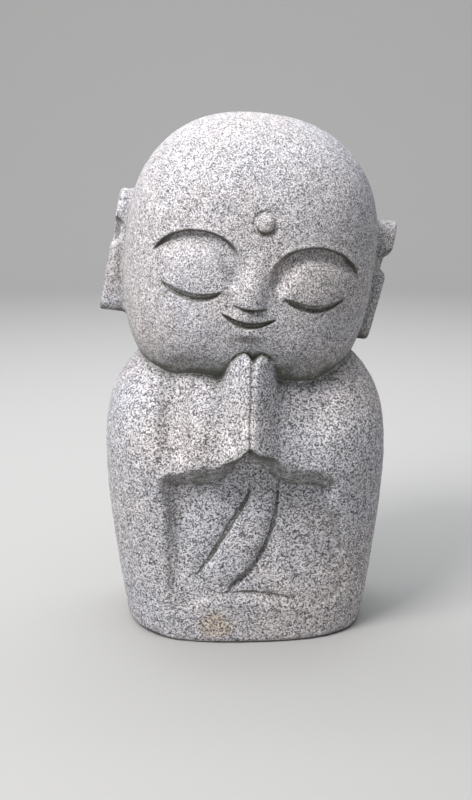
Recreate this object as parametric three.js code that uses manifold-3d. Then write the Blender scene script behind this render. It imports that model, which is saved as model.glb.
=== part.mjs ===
// A garden jizo in granite: a bald child monk with long ears, praying hands and a plain robe,
// carved from one block. Millimetres, +Z up; the figure looks along -Y.
//
// The block is roughed out as a few full masses (robe, belly, hands, head, ears), and then cut the
// way a mason cuts it: each hollow or line is an outline driven in to a core that lies a stated
// depth under the surface.
import * as THREE from "three";
import { mergeVertices } from "three/addons/utils/BufferGeometryUtils.js";
import Module from "manifold-3d";

const wasm = await Module();
wasm.setup();

// ---- Driving dimensions -------------------------------------------------------------------

const ROBE = {
  halfWidth: 91.5, // across the sleeves, at the widest
  widest: 115, // height of the widest place
  top: 198, // height of the neck, inside the head
  footTaper: 0.145, // share of the width lost between the widest place and the ground
  frontDepth: 76, // over the forearms
  footDepth: 60, // in front, at the ground
  backDepth: 63,
  footBackDepth: 58.5,
  bellyDepth: 61.5, // in front, under the forearms
  bellyInset: 6, // the belly's section is this much narrower on each side
  planPower: 2.7, // 2 is an ellipse, more is squarer
  shoulderPower: { side: 2.8, front: 2.2, back: 2.6 }, // higher: fuller shoulders
  edge: 3, // worn edge round the foot
  wornHeight: 16, // the foot's corner on the figure's right is worn this high
  wornShare: 0.12,
};

const HEAD = {
  centre: new THREE.Vector3(3.2, -6, 250),
  roll: THREE.MathUtils.degToRad(7), // the crown leans to the figure's left
  halfWidth: 79.5,
  crownHeight: 82.5,
  jawHeight: 98,
  faceDepth: 78,
  backDepth: 76,
  power: 2.35, // over 2: squarer than a ball
  jawPower: 2.75, // the jaw is squarer still
};

// Under the jaw the head is cut back towards the neck, from a ridge that lies further forward
// under the chin.
const JAW = {
  ridgeDepth: 52.5, // in front of the head's middle, at the ends of the ridge
  ridgeForward: 8,
  ridgeHalfWidth: 41,
  ridgeHeight: -70,
  facing: new THREE.Vector2(-0.6, -0.8), // the cut faces forwards and down: y, z
};

const FACE = {
  socket: new THREE.Vector2(35.5, -11), // middle of the eye socket
  socketRadii: new THREE.Vector2(26, 20),
  socketDepth: 4.8, // under the brow
  mark: new THREE.Vector2(1, 18), // the round mark on the forehead
  markRadius: 5.6,
  markRise: 3,
  noseBridge: -4, // height where the nose rises out of the face
  noseFoot: -31,
  noseHalfWidth: 10.5,
  noseRise: 5.5,
};

const EAR = {
  reach: 89, // from the middle of the head to the rim's outer face
  root: 55, // where the ear starts, inside the head
  middle: -13, // height of the ear's middle from the head's middle
  lean: { left: 0.075, right: 0.125 }, // the rims lean this much more than the head does
  hollow: 6, // depth inside the rim
};

const HANDS = {
  bottom: 104,
  top: 192, // fingertips, in front of the chin
  middleY: -62, // y of the middle of the section
  wristWidth: 30,
  tipWidth: 12,
  wristDepth: 37,
  tipDepth: 23,
  tipRound: 9, // height over which the fingertips close in
  backDepth: 24, // buried in the robe
  power: 1.45, // under 2: a ridge runs down the front
  seamDepth: 2.2,
};

const LINE_DEPTH = 2.2; // incised lines of the face
const FOLD_DEPTH = 2.4; // folds of the robe
const PANEL_DRAW = 0.0022; // share that the belly's outline shrinks by for each mm it goes in
const FOREARM_LEAN = 0.6; // fall of the forearms' underside for each mm it goes in
const BAND_RISE = 3; // the lapped band that runs down the belly

// ---- Small helpers ------------------------------------------------------------------------

const { smoothstep, lerp } = THREE.MathUtils;

const vec = (x, y) => new THREE.Vector2(x, y);

const signedPower = (value, power) => Math.sign(value) * Math.abs(value) ** power;

// Rises from 0 at `from` to 1 at `to`, whichever of the two is larger.
const ramp = (from, to, value) =>
  from < to ? smoothstep(value, from, to) : 1 - smoothstep(value, to, from);

// A smooth mound: 1 at its middle, 0 from the ellipse's edge outwards.
function mound(x, y, middleX, middleY, radiusX, radiusY) {
  const q = Math.hypot((x - middleX) / radiusX, (y - middleY) / radiusY);
  return q < 1 ? (1 - q * q) ** 2 : 0;
}

// What is left of a full section at a height between the widest place and the top of a dome.
function domeShare(height, widest, top, power) {
  const rise = Math.min(1, Math.max(0, (height - widest) / (top - widest)));
  return (1 - rise ** power) ** (1 / power);
}

// A closed three.js geometry as a manifold-3d solid.
function solid(geometry) {
  const bare = geometry.clone();
  bare.deleteAttribute("normal");
  bare.deleteAttribute("uv");
  const merged = mergeVertices(bare, 1e-3);
  const corners = Array.from(merged.index.array);
  const kept = [];
  for (let i = 0; i < corners.length; i += 3) {
    const [a, b, c] = corners.slice(i, i + 3);
    if (a !== b && b !== c && c !== a) kept.push(a, b, c);
  }
  return new wasm.Manifold(
    new wasm.Mesh({
      numProp: 3,
      vertProperties: merged.attributes.position.array,
      triVerts: new Uint32Array(kept),
    }),
  );
}

// A manifold-3d solid as a three.js geometry.
function geometryOf(body) {
  const mesh = body.getMesh();
  const geometry = new THREE.BufferGeometry();
  geometry.setAttribute("position", new THREE.BufferAttribute(mesh.vertProperties, 3));
  geometry.setIndex(new THREE.BufferAttribute(mesh.triVerts, 1));
  geometry.computeVertexNormals();
  return geometry;
}

// Moves every vertex of a geometry: `move` is given a Vector3 and changes it.
function reshape(geometry, move) {
  const position = geometry.attributes.position;
  const point = new THREE.Vector3();
  for (let i = 0; i < position.count; i++) {
    point.fromBufferAttribute(position, i);
    move(point);
    position.setXYZ(i, point.x, point.y, point.z);
  }
  return geometry;
}

// An outline in the front view (x to the right, y up), driven back from y = near to y = far.
function prism(shape, near, far) {
  const depth = far - near;
  const geometry = new THREE.ExtrudeGeometry(shape, { depth, bevelEnabled: false, curveSegments: 10 });
  return geometry.rotateX(Math.PI / 2).translate(0, far, 0);
}

// A smooth closed outline through a few points.
function roundOutline(points, steps) {
  const ring = new THREE.CatmullRomCurve3(
    points.map(([x, y]) => new THREE.Vector3(x, y, 0)),
    true,
    "catmullrom",
    0.5,
  );
  return new THREE.Shape(ring.getPoints(steps).slice(0, -1).map((p) => vec(p.x, p.y)));
}

// A chisel line: two arcs that share their ends, thin there and full in the middle.
function crescent(start, end, upper, lower) {
  const control = (middle) =>
    middle.clone().multiplyScalar(2).sub(start.clone().add(end).multiplyScalar(0.5));
  const over = control(upper);
  const under = control(lower);
  const shape = new THREE.Shape();
  shape.moveTo(start.x, start.y);
  shape.quadraticCurveTo(under.x, under.y, end.x, end.y);
  shape.quadraticCurveTo(over.x, over.y, start.x, start.y);
  return shape;
}

// A groove of even width along a smooth line, tapered at both ends.
function groove(points, width, steps = 14) {
  const line = new THREE.SplineCurve(points.map(([x, y]) => vec(x, y)));
  const left = [];
  const right = [];
  for (let i = 0; i <= steps; i++) {
    const t = i / steps;
    const middle = line.getPoint(t);
    const tangent = line.getTangent(t);
    const half = (width / 2) * Math.sqrt(Math.sin(Math.PI * lerp(0.03, 0.97, t)));
    left.push(vec(middle.x - tangent.y * half, middle.y + tangent.x * half));
    right.unshift(vec(middle.x + tangent.y * half, middle.y - tangent.x * half));
  }
  return new THREE.Shape([...left, ...right]);
}

// A can turned about Z whose sections are squared: `section(z)` gives its half-width, its depth in
// front and behind, the power of its plan and the y of its middle.
function loft(heights, columns, section) {
  const first = heights[0];
  const last = heights[heights.length - 1];
  const profile = [vec(0, first), ...heights.map((z) => vec(1, z)), vec(0, last)];
  const can = new THREE.LatheGeometry(profile, columns).rotateX(Math.PI / 2);
  return reshape(can, (p) => {
    const s = section(p.z);
    const radius = Math.hypot(p.x, p.y);
    const depth = p.y < 0 ? s.front : s.back;
    const side = signedPower(p.x / (radius || 1), 2 / s.power);
    const fore = signedPower(p.y / (radius || 1), 2 / s.power);
    p.x = radius * side * s.halfWidth;
    p.y = s.middle + radius * fore * depth;
  });
}

// Heights between two ends, closer together towards the top, where a dome turns in.
const heightsTo = (bottom, top, count) =>
  Array.from({ length: count + 1 }, (_, i) =>
    lerp(bottom, top, Math.sin((i / count) * Math.PI * 0.5)),
  );

// ---- The robe -----------------------------------------------------------------------------

function footShare(z) {
  const drop = Math.max(0, (ROBE.widest - z) / ROBE.widest);
  return 1 - ROBE.footTaper * drop ** 1.5;
}

// The worn lower edge, as a share of the section.
const edgeShare = (z) => 1 - (ROBE.edge / ROBE.halfWidth) * (1 - ramp(0, ROBE.edge * 1.5, z));

// The full mass of the robe: shoulders, sleeves and forearms, before the belly is cut in.
function robeSection(z) {
  const { widest, top, shoulderPower } = ROBE;
  const rise = Math.min(1, z / widest);
  const front = lerp(ROBE.footDepth, ROBE.frontDepth, rise ** 1.4);
  const back = lerp(ROBE.footBackDepth, ROBE.backDepth, rise);
  return {
    halfWidth: ROBE.halfWidth * footShare(z) * edgeShare(z) * domeShare(z, widest, top, shoulderPower.side),
    front: front * edgeShare(z) * domeShare(z, widest, top, shoulderPower.front),
    back: back * edgeShare(z) * domeShare(z, widest, top, shoulderPower.back),
    power: ROBE.planPower,
    middle: 0,
  };
}

// The belly and the skirt of the robe, which the sleeves stand out from.
function bellySection(z, grow = 0) {
  const rise = Math.min(1, z / ROBE.widest);
  return {
    halfWidth: ROBE.halfWidth * footShare(z) - ROBE.bellyInset + grow,
    front: lerp(ROBE.footDepth - 0.6, ROBE.bellyDepth, rise) + grow,
    back: ROBE.backDepth * 0.9,
    power: ROBE.planPower,
    middle: 0,
  };
}

// The foot's corner on the figure's right is worn away.
function wear(point) {
  if (point.x >= 0 || point.z > ROBE.wornHeight) return;
  const lack = 1 - point.z / ROBE.wornHeight;
  point.x *= 1 - ROBE.wornShare * lack * lack;
}

// The lower edge of the forearms in the front view: it climbs to a peak under the wrists.
function forearmLine() {
  const edge = new THREE.SplineCurve([
    vec(-49, 104),
    vec(-43, 110.5),
    vec(-27, 111),
    vec(-15, 116),
    vec(-2, 133),
    vec(9, 121),
    vec(20, 112),
    vec(40, 109),
    vec(48, 103),
  ]);
  return edge.getPoints(22);
}

// Front view of what is cut away between the sleeves, from the forearms down to the hem.
function bellyOutline() {
  const rightSleeve = [vec(51, 92), vec(55, 76), vec(60, 52), vec(63, 30)];
  const hem = [vec(44, 29), vec(26, 30.5), vec(6, 33.5), vec(-14, 34.5), vec(-32, 33), vec(-45, 29)];
  return new THREE.Shape([vec(-51, 30), vec(-50, 80), ...forearmLine(), ...rightSleeve, ...hem]);
}

// Front view of the lapped band that comes out from under the hands and runs to the hem.
function bandOutline() {
  const inner = new THREE.SplineCurve([vec(-2, 128), vec(-1, 98), vec(-14, 74), vec(-34, 45)]);
  const outer = new THREE.SplineCurve([vec(-14, 34), vec(1, 52), vec(16, 90), vec(18, 128)]);
  return new THREE.Shape([...inner.getPoints(12), ...outer.getPoints(12)]);
}

// Dips and, below zero, swells of the robe's front: the valley beside the upper sleeve, the left
// forearm that runs up to the chin beside the hands, and the hollow on the other side of them.
const FRONT_DIPS = [
  { x: -48, z: 147, width: 16, height: 44, depth: 6.5 },
  { x: -28, z: 152, width: 17, height: 50, depth: -5.5 },
  { x: 40, z: 156, width: 24, height: 34, depth: 4.5 },
];

const FOLDS = [
  { line: [[0, 100], [-7, 87], [-14, 74], [-23, 59], [-34, 45]], width: 3.6 },
  { line: [[17, 94], [14, 82], [9, 67], [1, 52], [-14, 34]], width: 3.6 },
  { line: [[-14, 34], [6, 33], [26, 30]], width: 2.2 },
];

function dip(point) {
  if (point.y > 0) return;
  for (const { x, z, width, height, depth } of FRONT_DIPS) {
    point.y += depth * mound(point.x, point.z, x, z, width, height);
  }
}

function makeRobe() {
  const columns = 46;
  const can = (heights, section) => solid(loft(heights, columns, section));
  const fullMass = reshape(
    loft([0, 3, 8, ...heightsTo(17, ROBE.top - 0.3, 15)], columns, robeSection),
    (p) => {
      wear(p);
      dip(p);
    },
  );
  const bellyHeights = [20, 41, 65, 89, 113, 140];
  const belly = can(bellyHeights, (z) => bellySection(z));
  const raised = can(bellyHeights, (z) => bellySection(z, BAND_RISE));
  const bellyCore = can([10, 42, 66, 90, 114, 145], (z) => bellySection(z, -FOLD_DEPTH));
  const band = solid(prism(bandOutline(), -90, -30)).intersect(raised);
  const panel = solid(
    reshape(prism(bellyOutline(), -100, -30), (p) => {
      // The forearms turn under towards the belly, and the sleeves stand closer together further in.
      const forearm = ramp(90, 106, p.z);
      const share = 1 - PANEL_DRAW * (p.y + ROBE.frontDepth);
      p.x *= share;
      p.z *= share;
      p.z -= forearm * FOREARM_LEAN * (p.y + ROBE.bellyDepth);
    }),
  );
  const folds = FOLDS.map(({ line, width }) => solid(prism(groove(line, width), -90, -30)));
  const cuts = folds.reduce((all, one) => all.add(one)).subtract(bellyCore);
  return solid(fullMass).subtract(panel).add(belly).add(band).subtract(cuts);
}

// ---- The hands ----------------------------------------------------------------------------

function handsSection(z) {
  const rise = (z - HANDS.bottom) / (HANDS.top - HANDS.bottom);
  const tip = domeShare(z, HANDS.top - HANDS.tipRound, HANDS.top, 2);
  return {
    halfWidth: lerp(HANDS.wristWidth, HANDS.tipWidth, rise) * lerp(0.3, 1, tip),
    front: lerp(HANDS.wristDepth, HANDS.tipDepth, rise) * lerp(0.7, 1, tip),
    back: HANDS.backDepth,
    power: HANDS.power,
    middle: HANDS.middleY,
  };
}

function makeHands() {
  const { bottom, top, tipRound } = HANDS;
  const heights = [...heightsTo(bottom, top - tipRound, 3), top - tipRound / 2, top];
  const hands = solid(loft(heights, 20, handsSection));
  const edge = forearmLine();
  const corners = [vec(60, 100), vec(60, 80), vec(-60, 80), vec(-60, 100)];
  const underside = solid(prism(new THREE.Shape([...edge, ...corners]), -140, 0));
  const seamOutline = new THREE.Shape([vec(-1.2, 100), vec(1.2, 100), vec(0.8, 186), vec(-0.8, 186)]);
  const core = solid(
    loft(heights, 20, (z) => {
      const section = handsSection(z);
      section.front -= HANDS.seamDepth;
      return section;
    }),
  );
  const seam = solid(prism(seamOutline, -140, -50)).subtract(core);
  const cleft = solid(prism(new THREE.Shape([vec(-3.5, 196), vec(0, 184), vec(3.5, 196)]), -140, -66));
  return hands.subtract(underside).subtract(seam).subtract(cleft);
}

// ---- The head -----------------------------------------------------------------------------

// Distance from the head's middle to its surface in a direction, before the face is carved.
function headRadius(direction) {
  const depth = direction.y < 0 ? HEAD.faceDepth : HEAD.backDepth;
  const height = direction.z < 0 ? HEAD.jawHeight : HEAD.crownHeight;
  const power = direction.z < 0 ? HEAD.jawPower : HEAD.power;
  const level =
    Math.abs(direction.x / HEAD.halfWidth) ** HEAD.power +
    Math.abs(direction.y / depth) ** HEAD.power;
  return (level ** (power / HEAD.power) + Math.abs(direction.z / height) ** power) ** (-1 / power);
}

// How far a point of the head's front lies outside the cut under the jaw.
function jawExcess(p) {
  const ridge = JAW.ridgeDepth + JAW.ridgeForward * (1 - (p.x / JAW.ridgeHalfWidth) ** 2);
  return JAW.facing.x * (p.y + ridge) + JAW.facing.y * (p.z - JAW.ridgeHeight);
}

// A squared ball, its rings packed towards the face. `relief` says how far the face stands out
// (below zero, how far it lies in) in the head's own front view: u to the viewer's right, v up.
function headBall(relief, { columns = 52, rings = 28, inset = 0 } = {}) {
  return reshape(new THREE.SphereGeometry(1, columns, rings), (p) => {
    const away = Math.acos(THREE.MathUtils.clamp(-p.y, -1, 1)) / Math.PI;
    const angle = Math.PI * (0.42 * away + 0.58 * away ** 4);
    const spread = Math.hypot(p.x, p.z) || 1;
    p.set(
      (p.x / spread) * Math.sin(angle),
      -Math.cos(angle),
      (p.z / spread) * Math.sin(angle),
    );
    p.multiplyScalar(headRadius(p) - inset);
    if (p.y >= 0) return;
    p.y -= relief(p.x, p.z);
    const excess = Math.max(0, jawExcess(p));
    p.y -= JAW.facing.x * excess;
    p.z -= JAW.facing.y * excess;
  });
}

// Cheeks and the swell round the mouth.
function cheekRelief(u, v) {
  const cheeks = 1.5 * mound(Math.abs(u), v, 36, -48, 30, 22);
  const muzzle = 1.8 * mound(u, v, 0, -42, 24, 14);
  return cheeks + muzzle;
}

// The floor of the eye sockets: deep along the brow, rising over the closed lid.
function socketRelief(u, v) {
  const { socket, socketRadii, socketDepth } = FACE;
  const edge = Math.hypot((Math.abs(u) - socket.x) / socketRadii.x, (v - socket.y) / socketRadii.y);
  return cheekRelief(u, v) - socketDepth * ramp(0.45, 0.95, edge) * ramp(-20, 2, v);
}

function noseRelief(u, v) {
  const halfWidth = lerp(7, FACE.noseHalfWidth, ramp(FACE.noseBridge, FACE.noseFoot, v));
  const across = Math.max(0, 1 - ((u - lerp(0, -1.5, ramp(0, FACE.noseFoot, v))) / halfWidth) ** 2);
  return cheekRelief(u, v) - 0.4 + FACE.noseRise * across * ramp(FACE.noseBridge + 8, FACE.noseFoot + 5, v);
}

// The two eye sockets as outlines driven in to their floor.
function eyeSockets() {
  const floor = solid(headBall(socketRelief, { columns: 60, rings: 36 }));
  const outlines = [-1, 1].map((side) => {
    const shape = new THREE.Shape();
    const { socket, socketRadii } = FACE;
    shape.absellipse(side * socket.x, socket.y, socketRadii.x, socketRadii.y, 0, 2 * Math.PI);
    return solid(prism(shape, -100, -20));
  });
  return outlines[0].add(outlines[1]).subtract(floor);
}

// The nose: it rises out of the face and stops short over the mouth.
function nose() {
  const shape = new THREE.Shape([
    vec(-13, 10),
    vec(-15, FACE.noseFoot + 3),
    vec(-10, FACE.noseFoot - 1),
    vec(-1.5, FACE.noseFoot - 2.5),
    vec(7, FACE.noseFoot - 1),
    vec(12, FACE.noseFoot + 3),
    vec(12, 10),
  ]);
  return solid(prism(shape, -100, -40)).intersect(solid(headBall(noseRelief, { columns: 48, rings: 44 })));
}

// The round mark on the forehead.
function foreheadMark() {
  const { mark, markRadius, markRise } = FACE;
  const bead = new THREE.SphereGeometry(1, 14, 6).rotateX(Math.PI / 2);
  const depth = headRadius(new THREE.Vector3(mark.x, -HEAD.faceDepth, mark.y).normalize());
  const y = -Math.sqrt(depth ** 2 - mark.lengthSq());
  return solid(bead.scale(markRadius, markRise, markRadius).translate(mark.x, y + 0.3, mark.y));
}

// The chisel lines of the face: lids, nostrils and mouth.
function faceLines() {
  const lines = [
    crescent(vec(-12, -30.8), vec(8.5, -31.4), vec(-1.8, -32.4), vec(-1.8, -34.4)),
    crescent(vec(-16.4, -37.2), vec(14.3, -37.2), vec(-1, -40.4), vec(-1, -44)),
  ];
  for (const side of [-1, 1]) {
    const points = [vec(19.3, -24.4), vec(54.3, -22), vec(34.5, -27.2), vec(34.5, -30.4)];
    for (const point of points) point.x *= side;
    lines.push(crescent(...points));
  }
  return lines.map((shape) => solid(prism(shape, -100, -20))).reduce((all, one) => all.add(one));
}

// Side view of an ear: x is towards the back of the head, y is up.
const EAR_OUTLINE = [
  [-3, 15],
  [8, 26],
  [22, 18],
  [23, -4],
  [15, -36],
  [5, -52],
  [-5, -44],
  [-5, -16],
];

// An outline in the side view, driven from x = from to x = to on the viewer's right, with its
// corners rounded off by `round`.
function sidePrism(shape, from, to, round = 0) {
  const geometry = new THREE.ExtrudeGeometry(shape, {
    depth: to - from - round,
    bevelEnabled: round > 0,
    bevelSize: round,
    bevelOffset: -round,
    bevelThickness: round,
    bevelSegments: 1,
  });
  const turn = new THREE.Matrix4().makeBasis(
    new THREE.Vector3(0, 1, 0),
    new THREE.Vector3(0, 0, 1),
    new THREE.Vector3(1, 0, 0),
  );
  return geometry.applyMatrix4(turn.setPosition(from, 0, 0));
}

function makeEar(side) {
  const lean = side < 0 ? EAR.lean.left : EAR.lean.right;
  const rim = sidePrism(roundOutline(EAR_OUTLINE, 24), EAR.root, EAR.reach, 2.5);
  const hollowOutline = EAR_OUTLINE.map(([x, y]) => [lerp(9, x, 0.52), lerp(-8, y, 0.58)]);
  const hollow = sidePrism(roundOutline(hollowOutline, 16), EAR.reach - EAR.hollow, EAR.reach + 20);
  const notch = new THREE.SphereGeometry(9, 12, 8).translate(EAR.reach + 1, -6, -1);
  const ear = solid(rim).subtract(solid(hollow)).subtract(solid(notch));
  const placed = side > 0 ? ear : ear.mirror([1, 0, 0]);
  return solid(
    reshape(geometryOf(placed), (p) => {
      p.x += lean * (p.z - EAR.middle);
    }),
  );
}

function makeHead() {
  const lines = faceLines().subtract(solid(headBall(cheekRelief, { inset: LINE_DEPTH })));
  const skull = solid(headBall(cheekRelief)).subtract(eyeSockets()).add(nose()).subtract(lines);
  return skull.add(foreheadMark()).add(makeEar(1)).add(makeEar(-1));
}

// ---- The statue ---------------------------------------------------------------------------

const headFrame = new THREE.Matrix4().makeRotationY(HEAD.roll).setPosition(HEAD.centre);
const head = solid(geometryOf(makeHead()).applyMatrix4(headFrame));
const stone = makeRobe().add(makeHands()).add(head);

const granite = new THREE.MeshStandardMaterial({ color: 0xb9b9b6, roughness: 0.9, metalness: 0 });
const statue = new THREE.Mesh(geometryOf(stone), granite);
statue.name = "jizo_statue";
statue.geometry.computeBoundingBox();
const middle = statue.geometry.boundingBox.getCenter(new THREE.Vector3());
statue.position.set(-middle.x, -middle.y, 0);

const group = new THREE.Group();
group.add(statue);
export default group;
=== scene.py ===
"""A garden jizo in granite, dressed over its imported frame.

The figure is described once, as a signed field in millimetres (below zero inside the stone), in a
frame whose origin is on the ground under the middle of the robe: +X to a viewer's right, -Y towards
the viewer, +Z up. Left and right are the viewer's. The field is sampled on a grid, turned into a
mesh, sharpened on to the field, thinned out, and then roughened as a mason's hammer leaves it.
"""

import math

import bpy
import numpy as np
import openvdb
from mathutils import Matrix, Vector, noise


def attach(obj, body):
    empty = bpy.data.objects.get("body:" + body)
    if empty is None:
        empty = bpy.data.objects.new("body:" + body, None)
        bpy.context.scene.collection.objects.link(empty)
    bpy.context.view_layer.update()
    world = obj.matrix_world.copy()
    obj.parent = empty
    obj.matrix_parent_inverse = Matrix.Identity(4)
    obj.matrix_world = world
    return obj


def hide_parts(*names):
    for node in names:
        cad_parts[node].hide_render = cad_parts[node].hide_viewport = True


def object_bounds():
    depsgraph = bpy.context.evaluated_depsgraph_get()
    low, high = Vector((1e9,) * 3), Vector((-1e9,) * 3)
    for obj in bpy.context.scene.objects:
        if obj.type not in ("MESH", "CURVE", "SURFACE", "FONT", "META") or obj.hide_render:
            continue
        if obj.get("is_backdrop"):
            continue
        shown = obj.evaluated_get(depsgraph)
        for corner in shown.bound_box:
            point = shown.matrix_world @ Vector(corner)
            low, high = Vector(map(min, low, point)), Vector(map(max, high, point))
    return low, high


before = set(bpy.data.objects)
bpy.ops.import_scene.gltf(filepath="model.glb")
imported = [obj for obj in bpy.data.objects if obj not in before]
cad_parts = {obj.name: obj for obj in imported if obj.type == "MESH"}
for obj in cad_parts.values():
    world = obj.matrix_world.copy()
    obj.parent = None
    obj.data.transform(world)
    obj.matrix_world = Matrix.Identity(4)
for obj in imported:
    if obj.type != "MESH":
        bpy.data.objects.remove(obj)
cad_low, cad_high = (np.array(corner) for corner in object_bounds())

MM = 0.001
NODE = "jizo_statue"

# ---- The figure's dimensions, in millimetres and degrees ------------------------------------------

ROBE_WIDE = 115.0  # height of the widest place
ROBE_TOP = 198.0
HEAD_CENTRE = (3.2, -6.0, 250.0)
HEAD_ROLL = math.radians(7.0)
HAND_BOTTOM, HAND_TOP = 104.0, 192.0

FIELD_LOW, FIELD_HIGH = (-100.0, -102.0, -4.0), (105.0, 80.0, 340.0)
GRID_STEP = 0.85
COARSENESS = 4  # grid steps in a step of the first, rough sampling
BAND = 5.0  # the field is worked out this far from the surface
BLOCK = 1_000_000  # points worked out at a time
SLOPE_REACH = 0.3  # how far to either side the field is read for its slope
SHARPENINGS = 2
TRIANGLES = 190_000
FRAME_SHIFT = np.array([-2.517, 10.96, 0.0])  # from the field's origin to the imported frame's


# ---- Small tools ----------------------------------------------------------------------------------

def ramp(start, end, value):
    """0 at start, 1 at end, smooth between."""
    t = np.clip((value - start) / (end - start), 0.0, 1.0)
    return t * t * (3.0 - 2.0 * t)


def mix(a, b, t):
    """a at 0, b at 1."""
    return a + (b - a) * t


def mound(x, y, middle, radii):
    """1 at the middle of an ellipse, 0 from its edge outwards."""
    q = ((x - middle[0]) / radii[0]) ** 2 + ((y - middle[1]) / radii[1]) ** 2
    return np.maximum(0.0, 1.0 - q) ** 2


def soft_min(a, b, k):
    """The lower of two fields, with a fillet about k wide where they meet."""
    h = np.maximum(k - np.abs(a - b), 0.0) / k
    return np.minimum(a, b) - h * h * k * 0.25


def soft_max(a, b, k):
    """The higher of two fields, with a rounding about k wide where they meet."""
    return -soft_min(-a, -b, k)


def curve(points, steps=60):
    """A smooth line through points, each with any number of coordinates, as an array of steps rows."""
    p = np.array(points, float)
    p = np.vstack([2 * p[0] - p[1], p, 2 * p[-1] - p[-2]])
    spans = len(p) - 3
    t = np.linspace(0.0, spans - 1e-9, steps)
    i = t.astype(int)
    f = (t - i)[:, None]
    a, b, c, d = p[i], p[i + 1], p[i + 2], p[i + 3]
    bend, twist = 2 * a - 5 * b + 4 * c - d, 3 * b - a - 3 * c + d
    return 0.5 * (2 * b + (c - a) * f + bend * f**2 + twist * f**3)


def closed_curve(points, steps=90):
    """A smooth ring through points, as an array of about steps rows."""
    ring = points[-2:] + points + points[:3]
    line = curve(ring, steps * len(ring) // len(points))
    spans = len(ring) - 1
    return line[2 * len(line) // spans:(len(points) + 2) * len(line) // spans]


class Sheet:
    """A value for each place of a flat view, kept on a fine raster and read back between its cells."""

    def __init__(self, low, high, step):
        self.low, self.step = np.array(low, float), step
        self.count = np.ceil((np.array(high) - self.low) / step).astype(int) + 1
        self.a = (self.low[0] + step * np.arange(self.count[0]))[:, None]
        self.b = (self.low[1] + step * np.arange(self.count[1]))[None, :]
        self.value = np.zeros(self.count, np.float32)

    def at(self, a, b):
        """The values at places, mixed from the four cells around each."""
        i = np.clip((a - self.low[0]) / self.step, 0, self.count[0] - 1.001)
        j = np.clip((b - self.low[1]) / self.step, 0, self.count[1] - 1.001)
        i0, j0 = i.astype(np.int32), j.astype(np.int32)
        fi, fj = (i - i0).astype(np.float32), (j - j0).astype(np.float32)
        v = self.value
        left = v[i0, j0] * (1 - fj) + v[i0, j0 + 1] * fj
        right = v[i0 + 1, j0] * (1 - fj) + v[i0 + 1, j0 + 1] * fj
        return left * (1 - fi) + right * fi

    def nearest(self, line):
        """Distance from each cell to a line, and the index of the line's nearest point."""
        best = np.full(self.count, 1e9, np.float32)
        which = np.zeros(self.count, np.int32)
        for n in range(len(line) - 1):
            (ax, ay), (bx, by) = line[n, :2], line[n + 1, :2]
            dx, dy = bx - ax, by - ay
            t = np.clip(((self.a - ax) * dx + (self.b - ay) * dy) / (dx * dx + dy * dy + 1e-12), 0, 1)
            d = np.hypot(self.a - ax - t * dx, self.b - ay - t * dy)
            closer = d < best
            best[closer] = d[closer]
            which[closer] = n
        return best, which

    def outline(self, ring):
        """Signed distance to a closed outline, below zero inside."""
        ring = np.vstack([ring, ring[:1]])
        distance, _ = self.nearest(ring)
        inside = np.zeros(self.count, bool)
        for (ax, ay), (bx, by) in zip(ring[:-1, :2], ring[1:, :2]):
            if ay == by:
                continue
            crosses = (self.b > min(ay, by)) & (self.b <= max(ay, by))
            inside ^= crosses & (self.a < ax + (self.b - ay) / (by - ay) * (bx - ax))
        return np.where(inside, -distance, distance)

    def stroke(self, points, depth):
        """A chisel line through (a, b, half width) points: round-bottomed, deepest where it is widest."""
        line = curve(points)
        distance, which = self.nearest(line)
        half = np.maximum(line[:, 2], 0.05)[which]
        share = half / half.max()
        return -depth * np.sqrt(share) * np.maximum(0.0, 1.0 - (distance / half) ** 2)


# ---- The robe -------------------------------------------------------------------------------------

ROBE_HALF_WIDTH = 91.5
ROBE_FRONTS = (60.0, 76.0)  # how deep it is before the middle plane, on the ground and where widest
ROBE_BACKS = (58.5, 63.0)  # and behind it
ROBE_SQUARENESS = 2.7  # the power of the squared oval it has for a section
FOOT_TAPER = 0.145
SHOULDERS = (2.8, 2.2, 2.6)  # how full they are across, in front and behind
CUT_OFF = 8.0  # the robe ends flat this far under its top, inside the head
CLIMB = 0.5  # a small way up, to work the slope out with


def dome(z, power):
    """1 up to the widest place, then rounding in to 0 at the top."""
    rise = np.clip((z - ROBE_WIDE) / (ROBE_TOP - ROBE_WIDE), 0.0, 1.0)
    return (1.0 - rise**power) ** (1.0 / power)


def robe_profile(z):
    """Half width, front depth and back depth of the full robe at a height."""
    drop = np.clip((ROBE_WIDE - z) / ROBE_WIDE, 0.0, 1.0)
    rise = np.clip(z / ROBE_WIDE, 0.0, 1.0)
    width = ROBE_HALF_WIDTH * (1.0 - FOOT_TAPER * drop**1.5) * dome(z, SHOULDERS[0])
    front = mix(*ROBE_FRONTS, rise**1.4) * dome(z, SHOULDERS[1])
    back = mix(*ROBE_BACKS, rise) * dome(z, SHOULDERS[2])
    return np.maximum(width, 2.0), np.maximum(front, 2.0), np.maximum(back, 2.0)


def robe_field(x, y, z):
    """The squared oval sections stacked up, as a distance."""
    power = ROBE_SQUARENESS
    level = np.minimum(z, ROBE_TOP - CUT_OFF)
    wide, front, back = robe_profile(level)
    wide2, front2, back2 = robe_profile(level + CLIMB)
    deep = np.where(y < 0, front, back)
    deep2 = np.where(y < 0, front2, back2)
    ax, ay = np.abs(x) / wide, np.abs(y) / deep
    r = np.maximum((ax**power + ay**power) ** (1 / power), 1e-3)
    gx = (ax / r) ** (power - 1) / wide
    gy = (ay / r) ** (power - 1) / deep
    gz = (gx * ax * (wide2 - wide) + gy * ay * (deep2 - deep)) / CLIMB
    return np.maximum((r - 1.0) / np.sqrt(gx**2 + gy**2 + gz**2), z - ROBE_TOP + CUT_OFF)


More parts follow.
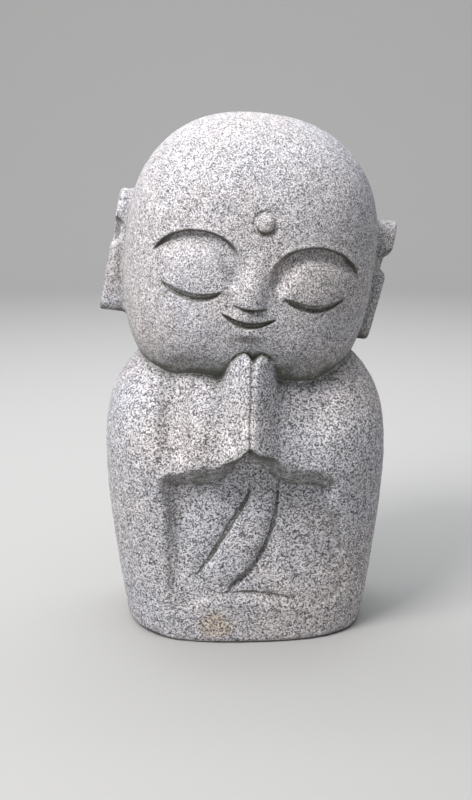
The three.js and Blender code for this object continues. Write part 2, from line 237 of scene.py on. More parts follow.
# The outline of the belly under the forearms, seen from the front: x and height.
FOREARM_EDGE = [
    (-50.5, 105), (-49, 109), (-44, 110.4), (-27, 110.8), (-16.5, 114.5), (-8.1, 125), (-2.1, 133),
    (3.5, 127), (9.5, 120.5), (19, 112.5), (29, 110), (41, 108.8), (47, 105.5),
]
RIGHT_SLEEVE = [(50.5, 92), (54.5, 82), (58.5, 68), (60.5, 55), (63, 38)]
HEM = [(58, 28), (44, 28), (26, 30), (6, 33), (-14, 34.2), (-30, 31), (-44, 28)]
LEFT_SLEEVE = [(-51.5, 38), (-51, 60), (-50.3, 80)]

# The chisel lines on it: x, height and half width.
FOLD_UPPER = [
    (-3, 136, 0.1), (-0.5, 114, 0.2), (-0.8, 99, 1.4), (-7.1, 86.9, 2.6), (-14.5, 73.7, 3.0),
    (-23.3, 59, 2.6), (-33, 46.5, 0.8),
]
FOLD_LOWER = [
    (19, 136, 0.1), (17.5, 106, 0.8), (16, 91.7, 2.2), (14.3, 83.6, 2.6), (9.4, 67.6, 2.8),
    (0.7, 51.9, 2.8), (-6.9, 43.6, 2.6), (-14.4, 34.7, 1.2),
]
HEM_LINE = [(-15, 34.4, 1.0), (-4.3, 33.8, 2.2), (6, 32.9, 2.6), (16, 31.4, 2.4), (27, 30.2, 0.8)]
FOLD_DEPTHS = (1.3, 1.5)
HEM_DEPTH = 1.3
# How far the cloth beside each fold turns down, how far out, and the heights between which it starts.
FOLD_BANKS = ((1.6, 6.0, (36, 52)), (1.2, 7.0, (30, 48)))
BAND_HEIGHT = 3.2  # of the band of cloth between the two folds
FOOT_SWELL = 1.2
ROBE_VIEW = ((-104, -6), (106, 215))


def belly_outline():
    """The signed distance to the belly's outline, below zero inside."""
    sheet = Sheet(*ROBE_VIEW, 0.5)
    ring = np.vstack([
        curve(LEFT_SLEEVE, 16), curve(FOREARM_EDGE, 70), curve(RIGHT_SLEEVE, 24), curve(HEM, 40),
    ])
    sheet.value = sheet.outline(ring).astype(np.float32)
    return sheet


def belly_folds():
    """How far the belly's cloth stands out of its plain surface."""
    sheet = Sheet(*ROBE_VIEW, 0.4)
    x, z = sheet.a, sheet.b
    to_upper, _ = sheet.nearest(curve(FOLD_UPPER))
    to_lower, _ = sheet.nearest(curve(FOLD_LOWER))
    strip = sheet.outline(np.vstack([curve(FOLD_UPPER, 40), curve(FOLD_LOWER, 40)[::-1]]))
    crown = 4.0 * to_upper * to_lower / (to_upper + to_lower + 1e-6) ** 2
    band = np.where(strip < 0, crown, 0.0) * ramp(33, 44, z + 0.35 * x)
    height = BAND_HEIGHT * band ** mix(0.6, 1.6, ramp(92, 110, z))
    # The cloth beside the band turns down towards it.
    for distance, (drop, reach, rise) in zip((to_upper, to_lower), FOLD_BANKS):
        beside = np.exp(-((distance / reach) ** 2)) * (strip > 0)
        height = height - drop * beside * ramp(*rise, z) * ramp(112, 96, z)
    for fold, depth in zip((FOLD_UPPER, FOLD_LOWER), FOLD_DEPTHS):
        height = height + sheet.stroke(fold, depth)
    height = height + sheet.stroke(HEM_LINE, HEM_DEPTH)
    # The foot swells a little under the hem.
    sheet.value = (height + FOOT_SWELL * mound(x, z, (2, 17), (62, 15))).astype(np.float32)
    return sheet


# ---- The hands ------------------------------------------------------------------------------------

PALM_PLANE = -62.0  # the y of the hands' middle
WRIST_HALF_WIDTH, TIP_HALF_WIDTH = 30.0, 12.5
WRIST_DEPTH, TIP_DEPTH = 37.0, 22.0  # before the middle
HAND_BACK = 24.0  # behind it
TIP_ROUNDING = 8.0
HAND_DRIFT = -1.4  # how far the hands' middle has moved across at the wrists
SEAM_HALF_WIDTH, SEAM_DEPTH = 1.8, 2.0
NOTCH_PLACE, NOTCH_HALF_WIDTH, NOTCH_DEPTH = 0.8, 5.2, 6.0


def hands_field(x, y, z):
    """Two palms laid together, as one rounded wedge with a seam and a notch between the fingertips."""
    rise = np.clip((z - HAND_BOTTOM) / (HAND_TOP - HAND_BOTTOM), 0.0, 1.0)
    tip = np.clip((z - (HAND_TOP - TIP_ROUNDING)) / TIP_ROUNDING, 0.0, 0.995)
    round_tip = np.sqrt(1.0 - tip**2)
    wide = mix(WRIST_HALF_WIDTH, TIP_HALF_WIDTH, rise) * mix(0.75, 1.0, round_tip)
    deep = np.where(y < PALM_PLANE, mix(WRIST_DEPTH, TIP_DEPTH, rise) * mix(0.6, 1.0, round_tip), HAND_BACK)
    middle = HAND_DRIFT * ramp(192, 130, z)
    ax, ay = np.abs(x - middle) / wide, np.abs(y - PALM_PLANE) / deep
    power = mix(1.4, 1.9, ramp(150, 192, z))
    r = np.maximum((ax**power + ay**power) ** (1 / power), 1e-3)
    gx = (ax / r) ** (power - 1) / wide
    gy = (ay / r) ** (power - 1) / deep
    side = (r - 1.0) / np.sqrt(gx**2 + gy**2)
    seam = np.maximum(0.0, 1.0 - (np.abs(x - middle) / SEAM_HALF_WIDTH) ** 2) * (y < PALM_PLANE)
    side = side + SEAM_DEPTH * seam * ramp(126, 134, z)
    top = HAND_TOP - NOTCH_DEPTH * np.maximum(0.0, 1.0 - np.abs(x - NOTCH_PLACE) / NOTCH_HALF_WIDTH)
    return soft_max(soft_max(side, z - top, 2.5), HAND_BOTTOM - 4.0 - z, 3.0)


# ---- The head -------------------------------------------------------------------------------------

HEAD_HALF_WIDTH = 79.5
JAW_HEIGHT, CROWN_HEIGHT = 98.0, 82.5  # below and above the middle
FACE_DEPTH, NAPE_DEPTH = 78.0, 76.0  # before and behind it
HEAD_SQUARENESS, JAW_SQUARENESS = 2.35, 2.75


def head_field(u, y, v):
    """A squared ball with a deeper jaw; y is measured from its middle."""
    power = HEAD_SQUARENESS
    low = v < 0
    tall = np.where(low, JAW_HEIGHT, CROWN_HEIGHT)
    jaw = np.where(low, JAW_SQUARENESS, power)
    deep = np.where(y < 0, FACE_DEPTH, NAPE_DEPTH)
    au, ay, av = np.abs(u) / HEAD_HALF_WIDTH, np.abs(y) / deep, np.abs(v) / tall
    level = au**power + ay**power
    whole = np.maximum(level ** (jaw / power) + av**jaw, 1e-6)
    r = whole ** (1 / jaw)
    flat = np.maximum(level, 1e-6) ** (jaw / power - 1)
    gu = flat * au ** (power - 1) / HEAD_HALF_WIDTH
    gy = flat * ay ** (power - 1) / deep
    gv = av ** (jaw - 1) / tall
    slope = whole ** (1 / jaw - 1) * np.sqrt(gu**2 + gy**2 + gv**2)
    return (r - 1.0) / np.maximum(slope, 1e-4)


# The face, in the head's own front view with its origin at the head's middle.
# Each eye socket's middle and radii.
SOCKETS = [((-34.6, -11.0), (26.4, 20.4)), ((36.2, -12.4), (27.0, 19.8))]
# The chisel lines: across, up and half width.
LIDS = [
    [
        (-54.2, -23.0, 0.5), (-50, -25.4, 1.4), (-44, -27.6, 2.2), (-37, -29.2, 2.6), (-30, -29.2, 2.6),
        (-24, -27.4, 2.0), (-19.2, -24.6, 0.5),
    ],
    [
        (18.4, -24.2, 0.5), (24, -26.4, 2.0), (30, -27.8, 2.6), (37, -28.4, 2.6), (44, -27.0, 2.2),
        (50, -24.4, 1.4), (55.4, -21.2, 0.5),
    ],
]
MOUTH = [
    (-16.6, -36.8, 0.4), (-13, -38.9, 1.1), (-7.5, -41.0, 1.7), (-1, -42.0, 2.0), (5.5, -41.0, 1.7),
    (11, -38.9, 1.1), (14.5, -36.8, 0.4),
]
NOSE_FOOT = [(-12.3, -30.6, 0.4), (-8, -31.6, 0.8), (-2, -32.2, 1.0), (4, -31.8, 0.8), (8.8, -31.2, 0.4)]


LID_DEPTH, MOUTH_DEPTH, NOSE_FOOT_DEPTH = 2.8, 3.2, 0.6
# Each lump's height, middle and radii; the cheek is on both sides.
CHEEK = (1.6, (37, -50), (30, 24))
MUZZLE = (1.8, (-1, -42), (24, 15))
UPPER_LIP = (1.1, (-1, -37.0), (13, 4.5))
LOWER_LIP = (1.3, (-1, -47.5), (11, 5))
LID_HEIGHT, BROW_HEIGHT, NOSE_HEIGHT = 1.9, 0.5, 5.4
SOCKET_FLOOR, SOCKET_OUTER, SOCKET_INNER = 1.4, 5.4, 4.4  # depth in the middle, and at either rim
NOSE_BRIDGE, NOSE_WINGS = 6.0, 10.4  # half widths
BEAD_PLACE, BEAD_RADIUS, BEAD_HEIGHT = (1.7, 17.8), 5.5, 3.4
BEAD_GROOVE = 0.9  # depth of the line round it


def lump(u, v, shape):
    height, middle, radii = shape
    return height * mound(u, v, middle, radii)


def with_eye(height, u, v, side, socket, lid):
    """A closed eye: the sunk socket, the lid swelling in it, and the brow's faint rim."""
    middle, radii = socket
    du, dv = (u - middle[0]) / radii[0], (v - middle[1]) / radii[1]
    s = np.hypot(du, dv)
    inner = ramp(0.30, 0.95, -side * du)  # 1 towards the nose
    edge = ramp(1.0 + mix(0.03, 0.06, inner), 1.0 - mix(0.03, 0.10, inner), s)
    strength = ramp(mix(0.05, -0.95, inner), mix(0.72, -0.1, inner), dv)
    rim_depth = mix(SOCKET_OUTER, SOCKET_INNER, inner)
    floor = mix(SOCKET_FLOOR, rim_depth, ramp(0.10, 0.97, s)) * strength
    height = height - floor * edge
    edge_line = curve(lid)
    line = np.interp(u[:, 0], edge_line[:, 0], edge_line[:, 1])[:, None]
    bulge = mound(u, 0.0, (middle[0], 0.0), (26, 1)) * ramp(2.0, -22.0, v) * ramp(-0.8, 0.4, v - line)
    height = height + LID_HEIGHT * (bulge + 1e-9) ** 0.7
    return height + BROW_HEIGHT * np.exp(-(((s - 1.07) / 0.06) ** 2)) * ramp(-0.1, 0.4, dv)


def nose(u, v):
    """A low wedge, widening and rising to a tip that is cut back underneath."""
    across = (u + 1.6 * ramp(0, -31, v)) / mix(NOSE_BRIDGE, NOSE_WINGS, ramp(2, -27, v))
    bridge = np.maximum(0.0, 1.0 - across**2) ** 1.1 * ramp(6, -27, v)
    under = ramp(-32.6 + 1.4 * across**2, -31.2 + 1.4 * across**2, v)
    return NOSE_HEIGHT * bridge * under


def face_sheet():
    """How far the face stands out of the squared ball."""
    face = Sheet((-90, -100), (90, 92), 0.35)
    u, v = face.a, face.b
    height = lump(np.abs(u), v, CHEEK) + lump(u, v, MUZZLE)
    for side, socket, lid in zip((-1, 1), SOCKETS, LIDS):
        height = with_eye(height, u, v, side, socket, lid)
    height = height + nose(u, v)
    height = height + lump(u, v, UPPER_LIP) + lump(u, v, LOWER_LIP)
    bead = np.hypot(u - BEAD_PLACE[0], v - BEAD_PLACE[1]) / BEAD_RADIUS
    height = height + BEAD_HEIGHT * np.sqrt(np.maximum(0.0, 1.0 - bead**2.4))
    height = height - BEAD_GROOVE * np.exp(-(((bead - 1.2) / 0.17) ** 2))
    for lid in LIDS:
        height = height + face.stroke(lid, LID_DEPTH)
    height = height + face.stroke(MOUTH, MOUTH_DEPTH) + face.stroke(NOSE_FOOT, NOSE_FOOT_DEPTH)
    face.value = height.astype(np.float32)
    return face


# The ear's outline in side view, from the head's middle: y and height.
EAR_OUTLINE = [(-3, 15), (8, 26), (22, 18), (23, -4), (16, -33), (7, -50), (-3, -48), (-5, -16)]


EAR_REACH = 89.0  # from the head's middle plane out to the rim
EAR_ROOT = 52.0
EAR_LEANS, EAR_PIVOT = {-1: 0.075, 1: 0.125}, -13.0
HOLLOW_PLACE, HOLLOW_RADII, HOLLOW_DEPTH = (10.0, -5.0), (8.5, 19.0), 6.0
EAR_NOTCH_PLACE, EAR_NOTCH_RADIUS = (-6.0, -1.0), 9.0


def ear_sheet():
    """The signed distance to the ear's outline."""
    ear = Sheet((-30, -75), (48, 50), 0.5)
    ear.value = ear.outline(closed_curve(EAR_OUTLINE)).astype(np.float32)
    return ear


def ear_field(side, u, y, v):
    """A leaning slab, with a hollow inside its rim that opens forwards over the lobe."""
    out = side * (u - EAR_LEANS[side] * (v - EAR_PIVOT))
    slab = soft_max(ear_outline.at(y, v), out - EAR_REACH, 2.5)
    slab = np.maximum(slab, EAR_ROOT - out)
    bowl = np.hypot((y - HOLLOW_PLACE[0]) / HOLLOW_RADII[0], (v - HOLLOW_PLACE[1]) / HOLLOW_RADII[1])
    hollow = soft_max((bowl - 1.0) * HOLLOW_RADII[0], EAR_REACH - HOLLOW_DEPTH - out, 4.0)
    behind, above = y - EAR_NOTCH_PLACE[0], v - EAR_NOTCH_PLACE[1]
    notch = np.sqrt((out - EAR_REACH - 1.0) ** 2 + behind**2 + above**2) - EAR_NOTCH_RADIUS
    return soft_max(soft_max(slab, -hollow, 2.0), -notch, 2.0)


# ---- The whole figure -----------------------------------------------------------------------------

outline_sheet = belly_outline()
fold_sheet = belly_folds()
face_relief = face_sheet()
ear_outline = ear_sheet()

# Between the upper sleeves and the forearms, and over the right forearm, the front falls in. The left
# forearm runs up to the chin as a ridge beside the hands. Each has a depth, a middle and radii.
FRONT_DIPS = (
    (9.0, (-47, 147), (13, 44)),
    (5.0, (39, 158), (22, 32)),
    (-5.5, (-28, 152), (16, 50)),
)
BELLY_DRAW = 0.0022  # the share by which the belly's outline narrows for each millimetre of depth
BELLY_END = -20.0  # the belly is carved only in front of this y
HEM_SINK, BELLY_SINK, BELLY_SWELL = 0.6, 16.0, 2.1  # depth under the full robe
SLEEVE_LEANS, FOREARM_LEAN = (0.35, 0.15), 0.62
WORN_FACING, WORN_PLACE = (-0.60, -0.38, -0.70), (-74.0, -34.0, 2.0)  # a corner knocked off the foot
JAW_FACING = (-0.6, -0.8)  # the flat under the jaw looks forwards and down
JAW_FORWARD, JAW_DROP = 52.5, 72.5
JAW_CURVE, JAW_HALF_WIDTH = 8.0, 41.0
MOAT_WIDTH, MOAT_DEPTH = 1.2, 1.3
MOAT_END = -40.0  # it is cut only in front of this y
HANDS_FRONT = -61.5  # the forearms' edge falls from this y forwards
HANDS_FILLET, EAR_FILLET, NECK_FILLET = 7.0, 3.5, 1.6
GROUND_ROUNDING, WORN_ROUNDING, JAW_ROUNDING = 5.0, 9.0, 2.2


def belly_field(x, y, z, high):
    """The stone left where the belly is sunk under the sleeves, the forearms and the hem."""
    share = 1.0 - BELLY_DRAW * (y + ROBE_FRONTS[1])
    panel = outline_sheet.at(x / share, z / share)
    relief = fold_sheet.at(x, z)
    rise = np.clip(z / ROBE_WIDE, 0.0, 1.0)
    depth = HEM_SINK + BELLY_SINK * rise**1.4 - BELLY_SWELL * rise
    inner = robe_field(x, np.where(y < 0, y + relief, y), z) + depth
    # The forearms turn under towards the belly; the sleeves and the hem fall back more softly.
    lean = mix(mix(*SLEEVE_LEANS, ramp(20, 40, x)), FOREARM_LEAN, high)
    wall = (lean * np.maximum(inner, 0.0) - panel) / np.sqrt(1.0 + lean**2)
    low_hem = ramp(44, 34, z)
    return soft_min(wall, inner, mix(6.0, 2.0, np.maximum(high, low_hem)))


def robe_with_belly(x, y, z):
    dip = sum(lump(x, z, shape) for shape in FRONT_DIPS)
    robe = robe_field(x, np.where(y < 0, y - dip, y), z)
    high = ramp(90, 106, z)  # 1 from the forearms up
    belly = belly_field(x, y, z, high)
    return np.where(y < BELLY_END, soft_max(robe, belly, mix(5.0, 2.5, high)), robe)


def hands_over_belly(x, y, z):
    """The hands, ended by the forearms' lower edge, which falls as it comes forwards."""
    fall = mix(0.1, 0.6, ramp(2.0, 20.0, np.abs(x + 2.0)))
    edge = outline_sheet.at(x, z - fall * np.maximum(0.0, HANDS_FRONT - y))
    return soft_max(hands_field(x, y, z), -edge, 3.0)


def body_field(x, y, z, hands):
    """The robe and the hands, standing flat on the ground."""
    body = soft_min(robe_with_belly(x, y, z), hands, HANDS_FILLET)
    body = soft_max(body, -z, GROUND_ROUNDING)
    worn = sum(facing * (at - place) for facing, at, place in zip(WORN_FACING, (x, y, z), WORN_PLACE))
    return soft_max(body, worn, WORN_ROUNDING)


def head_with_ears(x, y, z, hands):
    """The head with its face, leaning a little to one side, and set off from the fingertips."""
    cx, cy, cz = HEAD_CENTRE
    cos, sin = math.cos(HEAD_ROLL), math.sin(HEAD_ROLL)
    u = (x - cx) * cos - (z - cz) * sin
    v = (x - cx) * sin + (z - cz) * cos
    hy = y - cy
    front = ramp(-5.0, -30.0, hy)
    head = head_field(u, hy + front * face_relief.at(u, v), v)
    forward = hy + JAW_FORWARD + JAW_CURVE * (1.0 - (u / JAW_HALF_WIDTH) ** 2)
    under_jaw = JAW_FACING[0] * forward + JAW_FACING[1] * (v + JAW_DROP)
    head = soft_max(head, under_jaw, JAW_ROUNDING)
    # A chased line runs round the fingertips under the chin.
    moat = np.minimum(np.maximum(head, MOAT_WIDTH - hands), head + MOAT_DEPTH)
    head = np.where(y < MOAT_END, mix(head, moat, ramp(182, 190, z)), head)
    for side in (-1, 1):
        head = soft_min(head, ear_field(side, u, hy, v), EAR_FILLET)
    return head


def parts(x, y, z):
    """The signed fields of the robe with the hands, and of the head with the ears."""
    hands = hands_over_belly(x, y, z)
    return body_field(x, y, z, hands), head_with_ears(x, y, z, hands)


def figure(x, y, z):
    """The signed field of the whole stone."""
    return soft_min(*parts(x, y, z), NECK_FILLET)


def head_nearer(x, y, z):
    """Above zero where the head is the nearer of the two."""
    body, head = parts(x, y, z)
    return body - head


def in_blocks(function, points):
    """A function of x, y and z worked out for rows of points, a block at a time."""
    out = np.empty(len(points), np.float32)
    for start in range(0, len(points), BLOCK):
        block = points[start:start + BLOCK].astype(np.float32)
        out[start:start + BLOCK] = function(block[:, 0], block[:, 1], block[:, 2])
    return out


def spread(rough):
    """Each rough cell repeated for the fine ones in it."""
    for axis in range(3):
        rough = np.repeat(rough, COARSENESS, axis)
    return rough


def sample(low, high, step):
    """The field on a grid: coarse everywhere, and at full fineness near the surface."""
    low = np.array(low, float)
    coarse = COARSENESS * step
    count = np.ceil((np.array(high) - low) / coarse).astype(int)
    centre = [low[i] + coarse * (np.arange(count[i]) + 0.5) - 0.5 * step for i in range(3)]
    grid = np.stack(np.meshgrid(*centre, indexing="ij"), -1).reshape(-1, 3)
    rough = in_blocks(figure, grid).reshape(count)
    value = spread(np.clip(rough, -BAND, BAND))
    cells = np.argwhere(spread(np.abs(rough) < BAND + coarse))
    fine = in_blocks(figure, low + step * cells)
    value[cells[:, 0], cells[:, 1], cells[:, 2]] = np.clip(fine, -BAND, BAND)
    return value.astype(np.float32)


def gradient(points):
    """The field's slope at each point."""
    out = np.empty((len(points), 3), np.float32)
    for axis in range(3):
        step = np.zeros(3)
        step[axis] = SLOPE_REACH
        rise = in_blocks(figure, points + step) - in_blocks(figure, points - step)
        out[:, axis] = rise / (2 * SLOPE_REACH)
    return out


def carve():
    """Points and faces of the stone's surface, in millimetres."""
    value = sample(FIELD_LOW, FIELD_HIGH, GRID_STEP)
    volume = openvdb.FloatGrid(BAND)
    volume.copyFromArray(value)
    points, triangles, quads = volume.convertToPolygons(isovalue=0.0, adaptivity=0.0)
    points = np.array(FIELD_LOW) + GRID_STEP * np.array(points, float)
    furthest = 0.6 * GRID_STEP
    for _ in range(SHARPENINGS):
        slope = gradient(points)
        length = np.maximum((slope**2).sum(1), 0.04)
        move = (in_blocks(figure, points) / length)[:, None] * slope
        points = points - np.clip(move, -furthest, furthest)
    return points, [*map(tuple, triangles), *map(tuple, quads)]


# ---- From the field to the stone ------------------------------------------------------------------

# How far out of the surface the field is read for the darkening of creases, partly dirt and partly painted
# shade, and each reading's share.
SHUT_READINGS = ((1.5, 0.30), (4.0, 0.30), (9.0, 0.25), (16.0, 0.15))
# Painted shade: faces turned downwards are darkened by this share, as if in shadow.
UNDERSIDE_PAINTED_SHADE = 0.45
STAIN_PLACE, STAIN_RADII = (-21.0, 13.0), (19.0, 14.0)
# The hammer marks: sizes of the noises, and how far each moves the stone on the robe and on the head.
COARSE_SIZE, HALF_COARSE_SIZE, FINE_SIZE, WIDE_SIZE = 5.2, 2.6, 2.1, 21.0
ROBE_MARKS, HEAD_MARKS = (0.32, 0.12, 0.22), (0.07, 0.07, 0.16)
CREASE_ROUGHNESS = 0.9
BOX_MARGIN = 0.00002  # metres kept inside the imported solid's box


def occlusion(points, normals):
    """How shut in each place is, 0 in the open and towards 1 in a crease; it darkens the colour, partly as
    dirt and partly as painted shade.
    """
    shade_and_dirt_mask = np.zeros(len(points), np.float32)
    for reach, share in SHUT_READINGS:
        lift = in_blocks(figure, points + reach * normals)
        shade_and_dirt_mask += share * np.clip(1.0 - lift / reach, 0.0, 1.2)
    return shade_and_dirt_mask


def build_stone():
    """The thinned mesh as an object, in the field's own frame."""
    points, faces = carve()
    mesh = bpy.data.meshes.new("jizo_stone")
    mesh.from_pydata((points * MM).tolist(), [], faces)
    stone = bpy.data.objects.new("jizo_stone", mesh)
    bpy.context.collection.objects.link(stone)
    triangles = sum(len(f) - 2 for f in faces)
    thin = stone.modifiers.new("thin", "DECIMATE")
    thin.ratio = min(1.0, TRIANGLES / triangles)
    thinned = bpy.data.meshes.new_from_object(stone.evaluated_get(bpy.context.evaluated_depsgraph_get()))
    stone.modifiers.clear()
    stone.data = thinned
    thinned.name = "jizo_stone"
    return stone


def read_points():
    """The mesh's points in millimetres."""
    flat = np.empty(len(mesh.vertices) * 3, np.float32)
    mesh.vertices.foreach_get("co", flat)
    return flat.reshape(-1, 3) / MM


def keep(name, value):
    """A value for each point, for the material to read."""
    layer = mesh.attributes.new(name, "FLOAT", "POINT")
    layer.data.foreach_set("value", value.astype(np.float32))


def roughen(head):
    """The mason's finish: fine on the head, coarser on the robe, roughest where a chisel had no room."""
    move = np.zeros(len(points), np.float32)
    for i, p in enumerate(points):
        p = Vector(p)
        coarse = noise.noise(p / COARSE_SIZE)
        coarse = coarse + 0.7 * noise.noise(p / HALF_COARSE_SIZE + Vector((31.0, 7.0, 3.0)))
        fine = noise.noise(p / FINE_SIZE + Vector((5.0, 17.0, 29.0)))
        wide = noise.noise(p / WIDE_SIZE + Vector((13.0, 2.0, 8.0)))
        rough, smooth = (
            marks[0] * coarse + marks[1] * fine + marks[2] * wide for marks in (ROBE_MARKS, HEAD_MARKS)
        )
        move[i] = rough + (smooth - rough) * head[i]
    return move * (1.0 + CREASE_ROUGHNESS * ramp(0.25, 0.6, shade_and_dirt_mask) * (1.0 - head))


def place_points(move):
    """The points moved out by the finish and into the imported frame, flat on the ground."""
    placed = (points + normals * move[:, None] + FRAME_SHIFT) * MM
    placed[:, 2] = np.maximum(placed[:, 2], 0.0)
    placed[:, :2] = np.clip(placed[:, :2], cad_low[:2] + BOX_MARGIN, cad_high[:2] - BOX_MARGIN)
    mesh.vertices.foreach_set("co", placed.astype(np.float32).ravel())
    mesh.polygons.foreach_set("use_smooth", np.ones(len(mesh.polygons), bool))
    mesh.update()


stone = build_stone()
mesh = stone.data
print("triangles", sum(len(p.vertices) - 2 for p in mesh.polygons))
points = read_points()
normals = gradient(points)
normals /= np.maximum(np.linalg.norm(normals, axis=1, keepdims=True), 1e-6)

# Painted shade and dirt: creases are darkened as shut in, partly dirt and partly painted shade, and faces
# turned downwards above the foot as painted shade.
shade_and_dirt_mask = occlusion(points, normals)
shade_and_dirt_mask = shade_and_dirt_mask + UNDERSIDE_PAINTED_SHADE * ramp(-0.2, -0.65, normals[:, 2]) * ramp(20.0, 40.0, points[:, 2])
stain = mound(points[:, 0], points[:, 2], STAIN_PLACE, STAIN_RADII) * (points[:, 1] < 0.0)
dressed = ramp(-1.0, 1.0, in_blocks(head_nearer, points))  # 1 on the finer head
keep("shade_and_dirt_mask", shade_and_dirt_mask)
keep("stain", stain)
keep("dressed", dressed)

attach(stone, "root")
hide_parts(NODE)

place_points(roughen(dressed) * ramp(0.0, 3.0, points[:, 2]))

# ---- Granite --------------------------------------------------------------------------------------


class Nodes:
    """A short way to write a node tree."""

    def __init__(self, material):
        material.use_nodes = True
        self.tree = material.node_tree
        self.tree.nodes.clear()

    def add(self, kind, *inputs, **settings):
        """A node, its inputs given by number and then by name, as links or as values."""
        node = self.tree.nodes.new(kind)
        named = settings.pop("named", {})
        for key, value in settings.items():
            setattr(node, key, value)
        for key, value in [*enumerate(inputs), *named.items()]:
            self.feed(node.inputs[key], value)
        return node

    def feed(self, socket, value):
        if isinstance(value, bpy.types.NodeSocket):
            self.tree.links.new(value, socket)
        else:
            socket.default_value = value

    def ramp(self, value, stops):
        node = self.add("ShaderNodeValToRGB", value)
        elements = node.color_ramp.elements
        while len(elements) < len(stops):
            elements.new(0.5)
        for element, (place, colour) in zip(elements, stops):
            element.position = place
            element.color = (*colour, 1.0)
        return node.outputs["Color"]

    def mix(self, factor, a, b, blend="MIX"):
        node = self.add("ShaderNodeMix", data_type="RGBA", blend_type=blend, clamp_factor=True)
        for socket, value in zip((node.inputs[0], node.inputs[6], node.inputs[7]), (factor, a, b)):
            self.feed(socket, value)
        return node.outputs[2]

    def math(self, operation, a, b):
        return self.add("ShaderNodeMath", a, b, operation=operation).outputs[0]

    def attribute(self, name):
        return self.add("ShaderNodeAttribute", attribute_name=name).outputs["Fac"]

    def cells(self, scale):
        """Crystals with three chance values each."""
        place = self.add("ShaderNodeTexCoord").outputs["Object"]
        node = self.add("ShaderNodeTexVoronoi", place, named={"Scale": scale, "Randomness": 1.0})
        return self.add("ShaderNodeSeparateColor", node.outputs["Color"]).outputs

    def clouds(self, scale, detail, rough=0.55):
        place = self.add("ShaderNodeTexCoord").outputs["Object"]
        settings = {"Scale": scale, "Detail": detail, "Roughness": rough}
        return self.add("ShaderNodeTexNoise", place, named=settings).outputs[0]


def grey(level):
    return (level, level, level)


LARGE_CRYSTALS, SMALL_CRYSTALS = 1250.0, 1750.0  # to the metre
BUMP_DISTANCE = 0.0004
# TAN is the soil stain's colour; the olive-dark colour beside it is painted into creases and undersides,
# partly dirt and partly painted shade.
TAN, SHADE_AND_DIRT_COLOUR = (1.0, 0.86, 0.66, 1.0), (0.075, 0.078, 0.055, 1.0)


def crystals(n, large, small, fine_part):
    """Feldspar, quartz and mica: crystals of one shade each. The rubbed head shows them finer."""
    coarse = n.ramp(large[0], [
        (0.0, (0.02, 0.02, 0.024)), (0.17, (0.09, 0.09, 0.095)), (0.34, (0.33, 0.325, 0.34)),
        (0.56, (0.66, 0.645, 0.665)), (0.78, (0.92, 0.89, 0.91)), (1.0, (1.0, 0.97, 0.99)),
    ])
    fine = n.ramp(small[1], [
        (0.0, (0.02, 0.02, 0.024)), (0.15, (0.05, 0.05, 0.055)), (0.32, (0.28, 0.277, 0.29)),
        (0.60, (0.58, 0.566, 0.585)), (0.82, (0.84, 0.815, 0.835)), (1.0, (0.97, 0.94, 0.96)),
    ])
    share = n.ramp(fine_part, [(0.0, grey(0.15)), (1.0, grey(0.82))])
    return n.mix(share, coarse, fine)


def mottled(n, colour):
    """Broad, faint drifts of pinkish and bluish stone, and clusters of darker crystals."""
    drift = n.ramp(n.clouds(14.0, 2.0), [(0.35, (0.94, 0.97, 1.03)), (0.65, (1.04, 1.0, 0.975))])
    colour = n.mix(0.8, colour, drift, "MULTIPLY")
    mottle = n.ramp(n.clouds(150.0, 3.0, 0.6), [(0.33, grey(0.82)), (0.67, grey(1.12))])
    return n.mix(0.7, colour, mottle, "MULTIPLY")


def stain_dirt_and_shade(n, colour):
    """Soil has stained the foot tan in one place; where the stone is shut in it is darkened olive, partly
    dirt and partly painted shade, and under overhangs as painted shade.
    """
    soil = n.math("MULTIPLY", n.attribute("stain"), n.clouds(110.0, 2.0))
    soil = n.ramp(soil, [(0.08, grey(0.0)), (0.45, grey(0.8))])
    colour = n.mix(soil, colour, TAN, "MULTIPLY")
    patches = n.ramp(n.clouds(160.0, 2.0), [(0.3, grey(0.7)), (0.7, grey(1.25))])
    # Painted shade and dirt, in patches, following the mask of creases and undersides.
    patchy_shade_and_dirt = n.math("MULTIPLY", n.attribute("shade_and_dirt_mask"), patches)
    amount = n.ramp(patchy_shade_and_dirt, [(0.14, grey(0.0)), (0.70, grey(0.9))])
    return n.mix(amount, colour, SHADE_AND_DIRT_COLOUR)


def granite():
    material = bpy.data.materials.new("granite")
    n = Nodes(material)
    fine_part = n.attribute("dressed")
    large, small = n.cells(LARGE_CRYSTALS), n.cells(SMALL_CRYSTALS)
    colour = stain_dirt_and_shade(n, mottled(n, crystals(n, large, small, fine_part)))
    roughness = n.ramp(large[0], [(0.0, grey(0.62)), (0.4, grey(0.88)), (1.0, grey(0.8))])
    # The hammered robe catches the light more than the rubbed head.
    grain = n.math("ADD", n.math("MULTIPLY", small[0], 0.5), n.clouds(1150.0, 2.0, 0.6))
    strength = n.ramp(fine_part, [(0.0, grey(1.0)), (1.0, grey(0.35))])
    bump = n.add("ShaderNodeBump", named={"Strength": strength, "Distance": BUMP_DISTANCE, "Height": grain})
    shader = n.add("ShaderNodeBsdfPrincipled", named={
        "Base Color": colour, "Roughness": roughness, "Normal": bump.outputs[0],
    })
    n.add("ShaderNodeOutputMaterial", shader.outputs[0])
    return material


stone.data.materials.clear()
stone.data.materials.append(granite())

# ---- Studio: metres, watts and degrees ------------------------------------------------------------

FLOOR_TURNS = 96
FLOOR_RADII = (0.35, 1.0, 2.0)
BEND_RADIUS, BEND_STEPS = 1.0, 16
WALL_TOP = 1.5
PAPER = (0.46, 0.46, 0.455, 1.0)
ROOM_LIGHT, ROOM_STRENGTH = (0.95, 0.97, 1.0, 1.0), 0.28
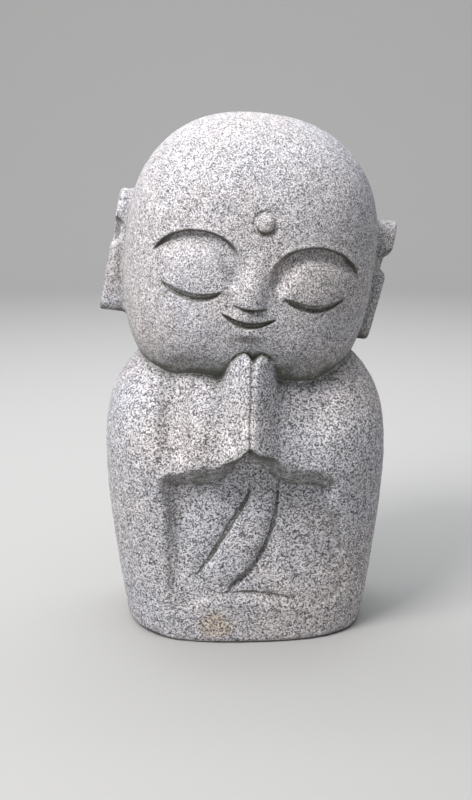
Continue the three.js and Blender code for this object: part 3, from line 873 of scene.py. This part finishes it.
# Each lamp's name, place, aim, size, power and colour.
LAMPS = (
    ("key", (-0.62, -0.62, 1.10), (0.0, 0.0, 0.18), 0.5, 17.0, (1.0, 0.975, 0.96)),
    ("top", (0.0, 0.0, 1.6), (0.0, 0.0, 0.2), 1.5, 12.0, (0.95, 0.97, 1.0)),
    ("wall", (0.0, 0.6, 1.7), (0.0, 3.0, 0.2), 1.6, 34.0, (1.0, 1.0, 1.0)),
)
AZIMUTH, ELEVATION = math.radians(-3.0), math.radians(12.0)
DISTANCE = 0.741
AIM = Vector((-0.00808, 0.01100, 0.14707))
FOCAL_LENGTH = 50.0  # millimetres
NEAR_CLIP = 0.02


def paper_floor():
    """A round paper floor that turns up into a low wall far behind, so no horizon shows."""
    profile = [(radius, 0.0) for radius in FLOOR_RADII]
    for a in np.linspace(0.0, math.pi / 2, BEND_STEPS + 1)[1:]:
        profile.append((FLOOR_RADII[-1] + BEND_RADIUS * math.sin(a), BEND_RADIUS * (1.0 - math.cos(a))))
    profile.append((FLOOR_RADII[-1] + BEND_RADIUS, WALL_TOP))
    turns = FLOOR_TURNS
    angles = [2 * math.pi * i / turns for i in range(turns)]
    rings = [(r * math.cos(a), r * math.sin(a), z) for r, z in profile for a in angles]
    faces = [tuple(range(turns))]
    for k in range(len(profile) - 1):
        for i in range(turns):
            after = (i + 1) % turns
            outer = (k + 1) * turns
            faces.append((outer + i, outer + after, k * turns + after, k * turns + i))
    floor_mesh = bpy.data.meshes.new("floor")
    floor_mesh.from_pydata(rings, [], faces)
    floor_mesh.polygons.foreach_set("use_smooth", [True] * len(floor_mesh.polygons))
    floor = bpy.data.objects.new("floor", floor_mesh)
    floor.location.z = float(cad_low[2])
    bpy.context.collection.objects.link(floor)
    return floor


def paper():
    material = bpy.data.materials.new("paper")
    n = Nodes(material)
    shader = n.add("ShaderNodeBsdfPrincipled", named={"Base Color": PAPER, "Roughness": 0.9})
    n.add("ShaderNodeOutputMaterial", shader.outputs[0])
    return material


def lamp(name, place, aim, size, power, colour):
    light = bpy.data.lights.new(name, "AREA")
    light.size = size
    light.energy = power
    light.color = colour
    lamp_object = bpy.data.objects.new(name, light)
    lamp_object.location = place
    lamp_object.rotation_mode = "QUATERNION"
    lamp_object.rotation_quaternion = (Vector(aim) - Vector(place)).to_track_quat("-Z", "Y")
    bpy.context.collection.objects.link(lamp_object)


def add_camera():
    level = math.cos(ELEVATION)
    back = Vector((math.sin(AZIMUTH) * level, -math.cos(AZIMUTH) * level, math.sin(ELEVATION)))
    lens = bpy.data.cameras.new("camera")
    lens.lens = FOCAL_LENGTH
    lens.clip_start = NEAR_CLIP
    camera = bpy.data.objects.new("camera", lens)
    camera.location = AIM + DISTANCE * back
    camera.rotation_mode = "QUATERNION"
    camera.rotation_quaternion = (-back).to_track_quat("-Z", "Y")
    bpy.context.collection.objects.link(camera)
    bpy.context.scene.camera = camera


floor = paper_floor()
floor.data.materials.append(paper())
floor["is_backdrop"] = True

world = bpy.data.worlds.new("room")
bpy.context.scene.world = world
world.use_nodes = True
background = world.node_tree.nodes["Background"]
background.inputs[0].default_value = ROOM_LIGHT
background.inputs[1].default_value = ROOM_STRENGTH
bpy.context.scene.view_settings.view_transform = "Standard"

for settings in LAMPS:
    lamp(*settings)
add_camera()
